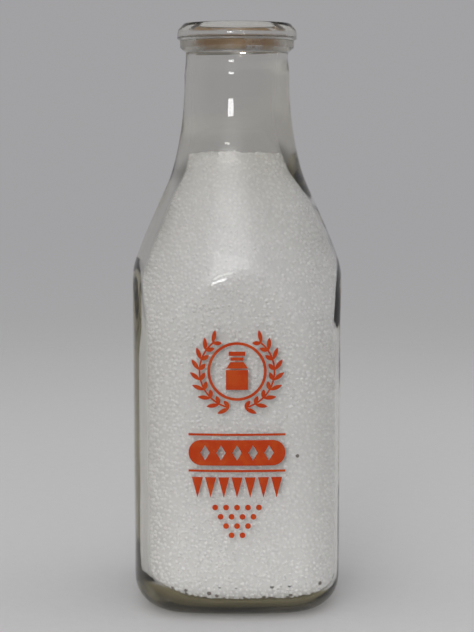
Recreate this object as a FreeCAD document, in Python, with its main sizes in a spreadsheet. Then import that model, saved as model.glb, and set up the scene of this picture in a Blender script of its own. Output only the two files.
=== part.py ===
import FreeCAD, Part
import math
import os

import Sketcher

# A square quart milk bottle of clear glass with a fired enamel print and a fill of white foam beads.
# Millimetres, +Z up, origin on the floor under the bottle's axis, printed panel facing -Y.

DIMENSIONS = [
    # the glass outside
    ("total_height", 241.3, "floor to lip crest"),
    ("body_half", 43.8, "axis to the middle of a panel"),
    ("corner_radius", 24.5, "upright corners of the body"),
    ("side_bow", 160.0, "radius of the slightly bowed panels"),
    ("heel_radius", 12.0, "rounding between panels and base"),
    ("arch_radius", 30.0, "rounding along the arched panel tops"),
    ("neck_radius", 21.8, "straight neck under the finish"),
    ("flare_start", 219.0, "height where the neck begins to flare"),
    ("taper_radius", 142.0, "first, gentle flare of the neck"),
    ("taper_turn", 14.0, "degrees the first flare turns"),
    ("sweep_radius", 61.0, "second, tighter flare"),
    ("cone_angle", 24.5, "slope of the shoulder from upright, degrees"),
    ("brow_height", 159.2, "height where the shoulder begins to round down"),
    ("turned_radius", 51.7, "turned blank the panels are taken out of"),
    ("trim_radius", 80.0, "outer edge of what the panels take away"),
    # the finish at the mouth
    ("finish_root", 20.0, "radius the finish is rooted at inside the neck wall"),
    ("finish_base", 229.3, "foot of the finish on the neck"),
    ("collar_radius", 23.6, "straight collar under the lip bead"),
    ("collar_base", 231.4, "lower edge of the collar"),
    ("collar_top", 234.4, "upper edge of the collar"),
    ("bead_radius", 24.7, "widest radius of the lip bead"),
    ("bead_base", 234.9, "lower edge of the lip bead"),
    ("bead_round", 4.6, "rounding of the lip bead"),
    # the base
    ("pushup_radius", 27.5, "hollow under the base"),
    ("pushup_depth", 2.5, "depth of that hollow"),
    # the hollow inside
    ("wall", 3.5, "glass thickness of the panels"),
    ("floor_height", 5.0, "inside floor above the table"),
    ("inner_heel", 8.0, "rounding of the inside floor"),
    ("inner_arch", 16.0, "rounding of the arches inside"),
    ("throat_radius", 17.2, "bore of the neck"),
    ("throat_end", 196.7, "height where the bore begins to open out"),
    ("hollow_sweep", 36.0, "flare of the bore into the shoulder"),
    ("hollow_angle", 28.0, "slope of the shoulder inside, degrees"),
    ("hollow_brow", 157.0, "height where the inside begins to round down"),
    ("seat_radius", 20.65, "wall of the disc cap seat"),
    ("seat_floor", 235.5, "ledge the disc cap lies on"),
    ("mouth_round", 0.4, "inner rounding of the lip"),
    # the bead fill
    ("fill_gap", 0.5, "room between the fill and the glass"),
    ("fill_top", 188.0, "level of the beads"),
    # the print
    ("film", 0.12, "thickness of the fired enamel"),
    ("print_low", 28.0, "lowest place for enamel"),
    ("print_high", 124.0, "highest place for enamel"),
    ("print_reach", 60.0, "depth the motifs are drawn through"),
    ("medal_height", 103.0, "centre of the medallion"),
    ("ring_radius", 11.8, "outer radius of the medallion ring"),
    ("ring_width", 1.1, "width of the ring"),
    ("spray_radius", 14.9, "radius of the leaf stems round the medallion"),
    ("stem_width", 0.7, "width of a stem"),
    ("spray_start", 12.0, "degrees from the lowest point to the first leaf"),
    ("spray_span", 128.0, "degrees from the first leaf to the last"),
    ("stem_tail", 4.0, "degrees the stem runs on past the last leaf"),
    ("spray_leaves", 9.0, "leaf pairs on one stem"),
    ("outer_leaf", 5.2, "length of the outer leaves"),
    ("inner_leaf", 3.4, "length of the inner leaves"),
    ("leaf_tilt", 38.0, "degrees a leaf leans off its stem"),
    ("leaf_bulge", 0.85, "half width of a leaf"),
    ("churn_foot", 95.6, "underside of the churn"),
    ("churn_half", 4.4, "half width of the churn's can"),
    ("churn_neck", 2.6, "half width of the churn's neck"),
    ("churn_lid", 3.3, "half width of the churn's lid"),
    ("can_height", 8.0, "upright part of the churn's can"),
    ("can_slope", 2.6, "sloping shoulder of the churn"),
    ("neck_height", 1.3, "height of the churn's neck"),
    ("lid_height", 1.7, "height of the churn's lid"),
    ("hoop_gap", 0.6, "clear line between parts of the churn"),
    ("plate_height", 70.0, "middle of the solid plate"),
    ("plate_half_length", 19.4, "half length of the plate, round ends included"),
    ("plate_half_width", 5.2, "half width of the plate"),
    ("gem_count", 5.0, "diamonds left clear in the plate"),
    ("gem_pitch", 6.4, "spacing of the diamonds"),
    ("gem_half_width", 1.9, "half width of a diamond"),
    ("gem_half_height", 3.1, "half height of a diamond"),
    ("rule_offset", 7.4, "thin rules above and below the plate's middle"),
    ("rule_half_width", 0.45, "half width of a rule"),
    ("pennant_count", 7.0, "pennants in the row"),
    ("pennant_pitch", 5.3, "spacing of the pennants"),
    ("pennant_half_width", 2.2, "half width of a pennant"),
    ("pennant_top", 60.0, "upper edge of the pennants"),
    ("pennant_drop", 8.4, "length of a pennant"),
    ("dot_rows", 4.0, "rows of dots, each one dot shorter"),
    ("dot_longest", 5.0, "dots in the first row"),
    ("dot_pitch", 4.4, "spacing of the dots"),
    ("dot_radius", 1.15, "radius of a dot"),
    ("dot_top", 47.6, "height of the first row of dots"),
]

doc = FreeCAD.newDocument("milk_bottle")
sheet = doc.addObject("Spreadsheet::Sheet", "dims")
for row, (alias, size, meaning) in enumerate(DIMENSIONS, start=1):
    sheet.set(f"A{row}", alias)
    sheet.set(f"B{row}", str(size))
    sheet.set(f"C{row}", meaning)
    sheet.setAlias(f"B{row}", alias)
doc.recompute()


def value(expression):
    return float(sheet.evalExpression(expression))


def count(alias):
    return int(value(f"dims.{alias}"))


# sketches

ORIGIN = (-1, 1)
H_AXIS = -1
V_AXIS = -2
START, END, CENTRE = 1, 2, 3
LEVEL = 0.1  # an edge that rises by less than this counts as level


def new_body(label):
    body = doc.addObject("PartDesign::Body", label)
    body.AllowCompound = True
    return body


def new_sketch(body, name, role):
    planes = [f for f in body.Origin.OriginFeatures if f.Role == role]
    sketch = body.newObject("Sketcher::SketchObject", name)
    sketch.AttachmentSupport = [(planes[0], "")]
    sketch.MapMode = "FlatFace"
    return sketch


def bind(sketch, kind, *place, to):
    """Add a measured constraint whose size follows an expression on the sheet."""
    size = value(to)
    if kind == "Angle":
        size = math.radians(size)
        to = f"({to}) * 1deg"
    index = sketch.addConstraint(Sketcher.Constraint(kind, *place, size))
    sketch.setExpression(f"Constraints[{index}]", to)


def tie(sketch, kind, *place):
    sketch.addConstraint(Sketcher.Constraint(kind, *place))


def point(x, y):
    return FreeCAD.Vector(x, y, 0)


def add_line(sketch, start, end):
    return sketch.addGeometry(Part.LineSegment(point(*start), point(*end)), False)


def add_arc(sketch, centre, radius, start, end):
    circle = Part.Circle(point(*centre), FreeCAD.Vector(0, 0, 1), radius)
    return sketch.addGeometry(Part.ArcOfCircle(circle, start, end), False)


def place_point(sketch, corner, x, y):
    """Hold a point at the coordinates that two expressions give."""
    if value(x) == 0:
        tie(sketch, "PointOnObject", *corner, V_AXIS)
    else:
        bind(sketch, "DistanceX", *ORIGIN, *corner, to=x)
    if value(y) == 0:
        tie(sketch, "PointOnObject", *corner, H_AXIS)
    else:
        bind(sketch, "DistanceY", *ORIGIN, *corner, to=y)


def add_polygon(sketch, corners):
    """A closed outline of straight lines through corners given as expressions."""
    spots = [(value(x), value(y)) for x, y in corners]
    lines = [add_line(sketch, spot, spots[(i + 1) % len(spots)]) for i, spot in enumerate(spots)]
    for i, line in enumerate(lines):
        tie(sketch, "Coincident", line, END, lines[(i + 1) % len(lines)], START)
        place_point(sketch, (line, START), *corners[i])


def add_circle(sketch, x, y, radius):
    circle = Part.Circle(point(value(x), value(y)), FreeCAD.Vector(0, 0, 1), value(radius))
    ring = sketch.addGeometry(circle, False)
    place_point(sketch, (ring, CENTRE), x, y)
    bind(sketch, "Radius", ring, to=radius)


# features

def add_revolution(body, sketch, kind="PartDesign::Revolution"):
    turned = body.newObject(kind, f"{sketch.Name}_turned")
    turned.Profile = sketch
    turned.ReferenceAxis = (sketch, ["V_Axis"])
    turned.Angle = 360.0
    doc.recompute()
    return turned


def add_pad(body, sketch):
    pad = body.newObject("PartDesign::Pad", f"{sketch.Name}_pad")
    pad.Profile = sketch
    pad.setExpression("Length", "dims.print_reach")
    doc.recompute()
    return pad


def add_fillet(body, name, base, radius, wanted):
    edges = [f"Edge{i}" for i, edge in enumerate(base.Shape.Edges, start=1) if wanted(edge)]
    fillet = body.newObject("PartDesign::Fillet", name)
    fillet.Base = (base, edges)
    fillet.Radius = value(radius)
    fillet.setExpression("Radius", radius)
    doc.recompute()
    return fillet


# the bottle's form: a turned blank with four bowed panels taken out of it

def draw_half_profile(body, name, neck, flare_start, flares, brow, inset, floor, top):
    """Upright half outline: floor, turned side, brow, cone, flares and neck, moved in by inset.

    flares lists (radius, turn) pairs from the neck down, and the last turn is the cone's slope.
    """
    sketch = new_sketch(body, name, "XZ_Plane")
    neck = f"({neck} - {inset})"
    outer = f"(dims.turned_radius - {inset})"
    slope = flares[-1][1]
    brow = f"({brow} - {inset} * sin({slope} * 1deg))"
    x, z = value(neck), value(flare_start)
    neck_line = add_line(sketch, (x, z), (x, value(top)))
    tie(sketch, "Vertical", neck_line)
    place_point(sketch, (neck_line, START), neck, flare_start)
    bind(sketch, "DistanceY", *ORIGIN, neck_line, END, to=top)

    joint, turned, height = (neck_line, START), "0", flare_start
    for radius, turn in flares:
        radius = f"({radius} + {inset})"
        size, first, last = value(radius), math.radians(value(turned)), math.radians(value(turn))
        centre = (x + size * math.cos(first), z + size * math.sin(first))
        arc = add_arc(sketch, centre, size, math.pi + first, math.pi + last)
        tie(sketch, "Tangent", *joint, arc, START)
        bind(sketch, "Radius", arc, to=radius)
        if turn != slope:
            height = f"{height} - {radius} * (sin({turn} * 1deg) - sin({turned} * 1deg))"
            bind(sketch, "DistanceY", *ORIGIN, arc, END, to=height)
        x, z = centre[0] - size * math.cos(last), centre[1] - size * math.sin(last)
        joint, turned = (arc, END), turn

    lean = math.radians(value(slope))
    low = value(brow)
    foot = (x + (z - low) * math.tan(lean), low)
    cone = add_line(sketch, foot, (x, z))
    tie(sketch, "Tangent", *joint, cone, END)
    bind(sketch, "Angle", cone, to=f"90 + {slope}")
    bind(sketch, "DistanceY", *ORIGIN, cone, START, to=brow)

    rim = value(outer)
    brow_size = (rim - foot[0]) / (1 - math.cos(lean))
    brow_foot = low - brow_size * math.sin(lean)
    brow_arc = add_arc(sketch, (rim - brow_size, brow_foot), brow_size, 0, lean)
    tie(sketch, "Tangent", cone, START, brow_arc, END)
    side = add_line(sketch, (rim, value(floor)), (rim, brow_foot))
    tie(sketch, "Vertical", side)
    tie(sketch, "Tangent", side, END, brow_arc, START)
    place_point(sketch, (side, START), outer, floor)

    floor_line = add_line(sketch, (0, value(floor)), (rim, value(floor)))
    tie(sketch, "Coincident", floor_line, END, side, START)
    tie(sketch, "Horizontal", floor_line)
    tie(sketch, "PointOnObject", floor_line, START, V_AXIS)
    top_line = add_line(sketch, (value(neck), value(top)), (0, value(top)))
    tie(sketch, "Coincident", top_line, START, neck_line, END)
    tie(sketch, "Horizontal", top_line)
    tie(sketch, "PointOnObject", top_line, END, V_AXIS)
    axis_line = add_line(sketch, (0, value(top)), (0, value(floor)))
    tie(sketch, "Coincident", axis_line, START, top_line, END)
    tie(sketch, "Coincident", axis_line, END, floor_line, START)
    return sketch


def draw_panel_section(body, name, inset):
    """Square section with bowed sides and round corners, inside the circle that is cut away."""
    sketch = new_sketch(body, name, "XY_Plane")
    bow, corner = f"(dims.side_bow - {inset})", f"(dims.corner_radius - {inset})"
    shift = "(dims.side_bow - dims.body_half)"
    bow_size, corner_size, behind = value(bow), value(corner), value(shift)
    spread = math.sqrt(2 * (bow_size - corner_size) ** 2 - behind ** 2)
    corner_at = (spread - behind) / 2
    half_turn = math.atan2(corner_at, corner_at + behind)
    arcs = []
    for quarter in range(4):
        facing = quarter * math.pi / 2
        centre = (-behind * math.cos(facing), -behind * math.sin(facing))
        side = add_arc(sketch, centre, bow_size, facing - half_turn, facing + half_turn)
        diagonal = facing + math.pi / 4
        reach = corner_at * math.sqrt(2)
        centre = (reach * math.cos(diagonal), reach * math.sin(diagonal))
        first, last = facing + half_turn, facing + math.pi / 2 - half_turn
        arcs += [side, add_arc(sketch, centre, corner_size, first, last)]
        bind(sketch, "Radius", side, to=bow)
        bind(sketch, "Radius", arcs[-1], to=corner)
    for i, arc in enumerate(arcs):
        tie(sketch, "Tangent", arc, END, arcs[(i + 1) % len(arcs)], START)
    for quarter, side in enumerate(arcs[::2]):
        along, across = ("DistanceX", H_AXIS) if quarter % 2 == 0 else ("DistanceY", V_AXIS)
        ends = [(side, CENTRE), ORIGIN]
        if quarter >= 2:
            ends.reverse()
        tie(sketch, "PointOnObject", side, CENTRE, across)
        bind(sketch, along, *ends[0], *ends[1], to=shift)
    add_circle(sketch, "0", "0", "dims.trim_radius")
    return sketch


def make_form(label, profile, inset, floor, arch_radius, heel_radius):
    """A turned blank cut to the panel section, with its arch and heel edges rounded."""
    body = new_body(label)
    blank = add_revolution(body, draw_half_profile(body, f"{label}_profile", *profile))
    trim = body.newObject("PartDesign::Pocket", f"{label}_panels")
    trim.Profile = draw_panel_section(body, f"{label}_section", inset)
    trim.Type = "ThroughAll"
    trim.Reversed = True
    doc.recompute()
    if trim.Shape.Volume >= blank.Shape.Volume:
        raise RuntimeError(f"the panels of {label} cut nothing")
    floor_z, neck_z = value(floor), value("dims.throat_end")

    def on_arch(edge):
        box = edge.BoundBox
        straight = isinstance(edge.Curve, Part.Line)
        return not straight and box.ZLength > LEVEL and box.ZMin > floor_z and is_outside(edge, neck_z)

    def on_heel(edge):
        return edge.BoundBox.ZMax < floor_z + LEVEL

    rounded = add_fillet(body, f"{label}_arches", trim, arch_radius, on_arch)
    add_fillet(body, f"{label}_heel", rounded, heel_radius, on_heel)
    return body


def is_outside(edge, neck_z):
    """True for an edge on the panels' outline, false for the seam of the turned faces."""
    middle = edge.valueAt((edge.FirstParameter + edge.LastParameter) / 2)
    return middle.z < neck_z and math.hypot(middle.x, middle.y) > value("dims.body_half - 2 * dims.wall")


OUTER_PROFILE = (
    "dims.neck_radius",
    "dims.flare_start",
    [("dims.taper_radius", "dims.taper_turn"), ("dims.sweep_radius", "dims.cone_angle")],
    "dims.brow_height",
    "0",
    "0",
    "dims.total_height",
)


def hollow_profile(inset, floor, top):
    """The inside outline, moved in by inset from the glass; its blank is a wall thinner."""
    return (
        "(dims.throat_radius + dims.wall)",
        "dims.throat_end",
        [("(dims.hollow_sweep - dims.wall)", "dims.hollow_angle")],
        "(dims.hollow_brow + dims.wall * sin(dims.hollow_angle * 1deg))",
        inset,
        floor,
        top,
    )


def make_glass():
    outside = make_form("glass_outside", OUTER_PROFILE, "0", "0", "dims.arch_radius", "dims.heel_radius")
    draw_finish(outside)
    draw_pushup(outside)
    hollow = make_form(
        "glass_hollow",
        hollow_profile("dims.wall", "dims.floor_height", "dims.seat_floor"),
        "dims.wall",
        "dims.floor_height",
        "dims.inner_arch",
        "dims.inner_heel",
    )
    draw_cap_seat(hollow)
    glass = doc.addObject("Part::Cut", "bottle_glass")
    glass.Base = outside
    glass.Tool = hollow
    return glass


def draw_finish(body):
    """Collar and lip bead round the mouth."""
    sketch = new_sketch(body, "finish", "XZ_Plane")
    crest = "(dims.bead_radius - dims.bead_round)"
    shoulder = "(dims.total_height - dims.bead_round)"
    corners = [
        ("dims.finish_root", "dims.total_height"),
        ("dims.finish_root", "dims.finish_base"),
        ("dims.neck_radius", "dims.finish_base"),
        ("dims.collar_radius", "dims.collar_base"),
        ("dims.collar_radius", "dims.collar_top"),
        ("dims.bead_radius", "dims.bead_base"),
        ("dims.bead_radius", shoulder),
    ]
    spots = [(value(x), value(y)) for x, y in corners]
    lines = [add_line(sketch, spots[i], spots[i + 1]) for i in range(len(spots) - 1)]
    for i, line in enumerate(lines):
        place_point(sketch, (line, START), *corners[i])
        if i:
            tie(sketch, "Coincident", lines[i - 1], END, line, START)
    size = value("dims.bead_round")
    arc = add_arc(sketch, (value(crest), value(shoulder)), size, 0, math.pi / 2)
    bind(sketch, "Radius", arc, to="dims.bead_round")
    tie(sketch, "Tangent", lines[-1], END, arc, START)
    place_point(sketch, (arc, CENTRE), crest, shoulder)
    top = add_line(sketch, (value(crest), value("dims.total_height")), spots[0])
    tie(sketch, "Tangent", arc, END, top, START)
    tie(sketch, "Coincident", top, END, lines[0], START)
    add_revolution(body, sketch)


def draw_pushup(body):
    """Shallow dome under the base, inside the ring that the bottle stands on."""
    before = body.Shape.Volume
    sketch = new_sketch(body, "pushup", "XZ_Plane")
    reach, rise = value("dims.pushup_radius"), value("dims.pushup_depth")
    size = "(dims.pushup_radius ^ 2 + dims.pushup_depth ^ 2) / (2 * dims.pushup_depth)"
    low = rise - value(size)
    base = add_line(sketch, (0, 0), (reach, 0))
    tie(sketch, "Coincident", base, START, *ORIGIN)
    place_point(sketch, (base, END), "dims.pushup_radius", "0")
    dome = add_arc(sketch, (0, low), value(size), math.atan2(-low, reach), math.pi / 2)
    tie(sketch, "Coincident", base, END, dome, START)
    tie(sketch, "PointOnObject", dome, CENTRE, V_AXIS)
    bind(sketch, "Radius", dome, to=size)
    upright = add_line(sketch, (0, rise), (0, 0))
    tie(sketch, "Coincident", dome, END, upright, START)
    tie(sketch, "Coincident", upright, END, base, START)
    tie(sketch, "Vertical", upright)
    add_revolution(body, sketch, "PartDesign::Groove")
    if body.Shape.Volume >= before:
        raise RuntimeError("the hollow under the base cuts nothing")


def draw_cap_seat(body):
    """Straight seat for a disc cap above the bore, opening out over the rounded lip."""
    sketch = new_sketch(body, "cap_seat", "XZ_Plane")
    wide = "(dims.seat_radius + dims.mouth_round)"
    high = "(dims.total_height - dims.mouth_round)"
    above = "(dims.total_height + dims.mouth_round)"
    seat, ledge = value("dims.seat_radius"), value("dims.seat_floor")
    floor = add_line(sketch, (0, ledge), (seat, ledge))
    place_point(sketch, (floor, START), "0", "dims.seat_floor")
    place_point(sketch, (floor, END), "dims.seat_radius", "dims.seat_floor")
    wall = add_line(sketch, (seat, ledge), (seat, value(high)))
    tie(sketch, "Coincident", floor, END, wall, START)
    arc = add_arc(sketch, (value(wide), value(high)), value("dims.mouth_round"), math.pi / 2, math.pi)
    bind(sketch, "Radius", arc, to="dims.mouth_round")
    tie(sketch, "Tangent", wall, END, arc, END)
    place_point(sketch, (arc, CENTRE), wide, high)
    rise = add_line(sketch, (value(wide), value("dims.total_height")), (value(wide), value(above)))
    tie(sketch, "Coincident", arc, START, rise, START)
    tie(sketch, "Vertical", rise)
    place_point(sketch, (rise, END), wide, above)
    lid = add_line(sketch, (value(wide), value(above)), (0, value(above)))
    tie(sketch, "Coincident", rise, END, lid, START)
    tie(sketch, "Horizontal", lid)
    tie(sketch, "PointOnObject", lid, END, V_AXIS)
    axis_line = add_line(sketch, (0, value(above)), (0, ledge))
    tie(sketch, "Coincident", lid, END, axis_line, START)
    tie(sketch, "Coincident", axis_line, END, floor, START)
    add_revolution(body, sketch)


def make_fill():
    """The loose beads as one closed form, a little clear of the glass and level at the top."""
    inset = "(dims.wall + dims.fill_gap)"
    floor = "(dims.floor_height + dims.fill_gap)"
    profile = hollow_profile(inset, floor, "dims.seat_floor")
    form = make_form("fill_form", profile, inset, floor, "dims.inner_arch", "dims.inner_heel")
    empty = doc.addObject("Part::Cylinder", "empty_neck")
    empty.setExpression("Radius", "dims.neck_radius")
    empty.setExpression("Height", "dims.total_height - dims.fill_top")
    empty.setExpression("Placement.Base.z", "dims.fill_top")
    fill = doc.addObject("Part::Cut", "bead_fill")
    fill.Base = form
    fill.Tool = empty
    return fill


# the print: motifs drawn from the front and cut out of a thin skin on the front panel

def make_skin():
    """The film of enamel that the front panel could carry, before the motifs are cut from it."""
    rolls = []
    for name, radius in (("skin_face", "dims.side_bow + dims.film"), ("skin_back", "dims.side_bow")):
        roll = doc.addObject("Part::Cylinder", name)
        roll.setExpression("Radius", radius)
        roll.setExpression("Height", "dims.print_high - dims.print_low")
        roll.setExpression("Placement.Base.y", "dims.side_bow - dims.body_half")
        roll.setExpression("Placement.Base.z", "dims.print_low")
        rolls.append(roll)
    skin = doc.addObject("Part::Cut", "enamel_skin")
    skin.Base, skin.Tool = rolls
    return skin


def cut_from_skin(skin, label, motif):
    print_film = doc.addObject("Part::Common", label)
    print_film.Base = skin
    print_film.Tool = motif
    return print_film


def draw_ring():
    motif = new_body("ring_motif")
    sketch = new_sketch(motif, "ring", "XZ_Plane")
    for radius in ("dims.ring_radius", "dims.ring_radius - dims.ring_width"):
        add_circle(sketch, "0", "dims.medal_height", radius)
    add_pad(motif, sketch)
    return motif


def draw_churn():
    """Can, shoulder, neck and lid of a churn, parted by clear lines."""
    motif = new_body("churn_motif")
    sketch = new_sketch(motif, "churn", "XZ_Plane")
    bands = [
        ("dims.churn_half", "dims.churn_half", "dims.can_height"),
        ("dims.churn_half", "dims.churn_neck", "dims.can_slope"),
        ("dims.churn_neck", "dims.churn_neck", "dims.neck_height"),
        ("dims.churn_lid", "dims.churn_lid", "dims.lid_height"),
    ]
    low = "dims.churn_foot"
    for wide, narrow, height in bands:
        high = f"{low} + {height}"
        add_polygon(sketch, [(f"-{wide}", low), (wide, low), (narrow, high), (f"-{narrow}", high)])
        low = f"{high} + dims.hoop_gap"
    add_pad(motif, sketch)
    return motif


def new_medal_sketch(body, name):
    """A sketch centred on the medallion and turned to where the sprays start."""
    sketch = new_sketch(body, name, "XZ_Plane")
    turn = FreeCAD.Rotation(FreeCAD.Vector(0, 0, 1), value("dims.spray_start"))
    sketch.AttachmentOffset = FreeCAD.Placement(point(0, value("dims.medal_height")), turn)
    sketch.setExpression("AttachmentOffset.Base.y", "dims.medal_height")
    sketch.setExpression("AttachmentOffset.Rotation.Angle", "dims.spray_start * 1deg")
    return sketch


def add_leaf(sketch, length, lean):
    """A leaf of two arcs rooted in the stem's lowest stretch; lean is 1 inwards and -1 outwards."""
    root_y = f"{lean} * dims.stem_width / 4 - dims.spray_radius"
    tip_x = f"{length} * cos(dims.leaf_tilt * 1deg)"
    tip_y = f"{root_y} + {lean} * {length} * sin(dims.leaf_tilt * 1deg)"
    size = f"({length} ^ 2 / 4 + dims.leaf_bulge ^ 2) / (2 * dims.leaf_bulge)"
    root = point(0, value(root_y))
    tip = point(value(tip_x), value(tip_y))
    along = (tip - root).normalize()
    left = point(-along.y, along.x) * (value(size) - value("dims.leaf_bulge"))
    arcs = []
    for start, end, side in ((root, tip, left), (tip, root, -left)):
        centre = (root + tip) * 0.5 + side
        angles = [math.atan2(spot.y - centre.y, spot.x - centre.x) for spot in (start, end)]
        arcs.append(add_arc(sketch, (centre.x, centre.y), value(size), *angles))
        bind(sketch, "Radius", arcs[-1], to=size)
    place_point(sketch, (arcs[0], START), "0", root_y)
    place_point(sketch, (arcs[0], END), tip_x, tip_y)
    tie(sketch, "Coincident", arcs[0], END, arcs[1], START)
    tie(sketch, "Coincident", arcs[1], END, arcs[0], START)


def draw_spray():
    """The right-hand spray: leaf pairs repeated along a stem round the medallion."""
    motif = new_body("spray_motif")
    sketch = new_medal_sketch(motif, "leaf_pair")
    add_leaf(sketch, "dims.outer_leaf", -1)
    add_leaf(sketch, "dims.inner_leaf", 1)
    pair = add_pad(motif, sketch)
    row = motif.newObject("PartDesign::PolarPattern", "leaf_row")
    row.Originals = [pair]
    row.Axis = (sketch, ["N_Axis"])
    row.setExpression("Angle", "dims.spray_span * 1deg")
    row.setExpression("Occurrences", "dims.spray_leaves")
    motif.Tip = row
    doc.recompute()
    stem = new_medal_sketch(motif, "stem")
    turn = "(dims.spray_span + dims.stem_tail)"
    last = math.radians(value(turn))
    arcs, ends = [], []
    for radius in ("dims.spray_radius + dims.stem_width / 2", "dims.spray_radius - dims.stem_width / 2"):
        size = value(radius)
        arc = add_arc(stem, (0, 0), size, -math.pi / 2, last - math.pi / 2)
        tie(stem, "Coincident", arc, CENTRE, *ORIGIN)
        bind(stem, "Radius", arc, to=radius)
        tie(stem, "PointOnObject", arc, START, V_AXIS)
        bind(stem, "DistanceY", *ORIGIN, arc, END, to=f"-({radius}) * cos({turn} * 1deg)")
        arcs.append(arc)
        ends.append(((0, -size), (size * math.sin(last), -size * math.cos(last))))
    for which, end in ((0, START), (1, END)):
        line = add_line(stem, ends[0][which], ends[1][which])
        tie(stem, "Coincident", line, START, arcs[0], end)
        tie(stem, "Coincident", line, END, arcs[1], end)
    add_pad(motif, stem)
    return motif


def mirror_print(label, source):
    copy = doc.addObject("Part::Mirroring", label)
    copy.Source = source
    copy.Normal = FreeCAD.Vector(1, 0, 0)
    return copy


def draw_plate():
    """A solid plate with round ends and a row of diamonds left clear."""
    motif = new_body("plate_motif")
    sketch = new_sketch(motif, "plate", "XZ_Plane")
    centre_x = "dims.plate_half_length - dims.plate_half_width"
    middle = "dims.plate_height"
    x, z, size = value(centre_x), value(middle), value("dims.plate_half_width")
    right = add_arc(sketch, (x, z), size, -math.pi / 2, math.pi / 2)
    left = add_arc(sketch, (-x, z), size, math.pi / 2, 3 * math.pi / 2)
    place_point(sketch, (right, CENTRE), centre_x, middle)
    place_point(sketch, (left, CENTRE), f"-({centre_x})", middle)
    bind(sketch, "Radius", right, to="dims.plate_half_width")
    upper = add_line(sketch, (x, z + size), (-x, z + size))
    lower = add_line(sketch, (-x, z - size), (x, z - size))
    for first, second in ((right, upper), (upper, left), (left, lower), (lower, right)):
        tie(sketch, "Tangent", first, END, second, START)
    gems = count("gem_count")
    for i in range(gems):
        across = f"{i - (gems - 1) / 2} * dims.gem_pitch"
        add_polygon(sketch, [
            (f"{across} - dims.gem_half_width", middle),
            (across, f"{middle} - dims.gem_half_height"),
            (f"{across} + dims.gem_half_width", middle),
            (across, f"{middle} + dims.gem_half_height"),
        ])
    add_pad(motif, sketch)
    return motif


def draw_rules():
    """A thin rule above the plate and one below it."""
    motif = new_body("rules_motif")
    sketch = new_sketch(motif, "rules", "XZ_Plane")
    long_half = "dims.plate_half_length"
    for side in ("+", "-"):
        middle = f"dims.plate_height {side} dims.rule_offset"
        low, high = f"{middle} - dims.rule_half_width", f"{middle} + dims.rule_half_width"
        right, left = long_half, f"-{long_half}"
        add_polygon(sketch, [(left, low), (right, low), (right, high), (left, high)])
    add_pad(motif, sketch)
    return motif


def draw_pennants():
    motif = new_body("pennants_motif")
    sketch = new_sketch(motif, "pennants", "XZ_Plane")
    flags = count("pennant_count")
    for i in range(flags):
        across = f"{i - (flags - 1) / 2} * dims.pennant_pitch"
        add_polygon(sketch, [
            (f"{across} - dims.pennant_half_width", "dims.pennant_top"),
            (across, "dims.pennant_top - dims.pennant_drop"),
            (f"{across} + dims.pennant_half_width", "dims.pennant_top"),
        ])
    add_pad(motif, sketch)
    return motif


def draw_dots():
    """Rows of dots, each row one dot shorter than the one above."""
    motif = new_body("dots_motif")
    sketch = new_sketch(motif, "dots", "XZ_Plane")
    for row in range(count("dot_rows")):
        dots = count("dot_longest") - row
        height = f"dims.dot_top - {row} * dims.dot_pitch * sin(60deg)"
        for i in range(dots):
            add_circle(sketch, f"{i - (dots - 1) / 2} * dims.dot_pitch", height, "dims.dot_radius")
    add_pad(motif, sketch)
    return motif


def make_print():
    skin = make_skin()
    motifs = {
        "print_ring": draw_ring,
        "print_churn": draw_churn,
        "print_right_spray": draw_spray,
        "print_plate": draw_plate,
        "print_rules": draw_rules,
        "print_pennants": draw_pennants,
        "print_dots": draw_dots,
    }
    films = [cut_from_skin(skin, label, draw()) for label, draw in motifs.items()]
    right_spray = doc.getObject("print_right_spray")
    return films + [mirror_print("print_left_spray", right_spray)]


def brimful_volume():
    """What the glass holds when it is full to the lip crest."""
    side = value("2 * dims.trim_radius")
    column = Part.makeBox(side, side, value("dims.total_height"), point(-side / 2, -side / 2))
    return doc.getObject("glass_hollow").Shape.common(column).Volume


subparts = [make_glass(), make_fill(), *make_print()]
doc.recompute()

for item in doc.Objects:
    if "Invalid" in item.State or "Error" in item.State:
        raise RuntimeError(f"{item.Label} failed: {item.State}")
for part in subparts:
    if part.Shape.isNull() or not part.Shape.isValid():
        raise RuntimeError(f"{part.Label} has no valid shape")

os.makedirs("parts", exist_ok=True)
for part in subparts:
    part.Shape.exportStep(f"parts/{part.Label}.step")
    box = part.Shape.optimalBoundingBox(False)
    print(f"{part.Label}: {len(part.Shape.Solids)} solids, {part.Shape.Volume / 1000:.2f} cm3, "
          f"z {box.ZMin:.2f} to {box.ZMax:.2f}")
print(f"brimful capacity {brimful_volume() / 1000:.0f} ml")
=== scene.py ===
import math
from collections import namedtuple

import bmesh
import bpy
from bpy.props import FloatProperty, FloatVectorProperty, IntProperty, PointerProperty
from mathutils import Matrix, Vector


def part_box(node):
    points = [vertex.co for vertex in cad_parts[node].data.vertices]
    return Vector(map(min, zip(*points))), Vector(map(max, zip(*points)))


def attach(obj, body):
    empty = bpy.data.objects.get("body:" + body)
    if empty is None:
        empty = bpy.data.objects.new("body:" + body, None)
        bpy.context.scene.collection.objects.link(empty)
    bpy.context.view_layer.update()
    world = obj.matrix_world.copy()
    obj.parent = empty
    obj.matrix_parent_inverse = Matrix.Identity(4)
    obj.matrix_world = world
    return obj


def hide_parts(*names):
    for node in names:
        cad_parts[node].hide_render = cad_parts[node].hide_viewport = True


bl_info = {
    "name": "Milk bottle",
    "version": (1, 0, 0),
    "blender": (4, 5, 0),
    "location": "3D View > Sidebar > Bottle",
    "description": "Dresses a square glass milk bottle with its wall, bead fill and enamel print",
    "category": "Object",
}

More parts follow.
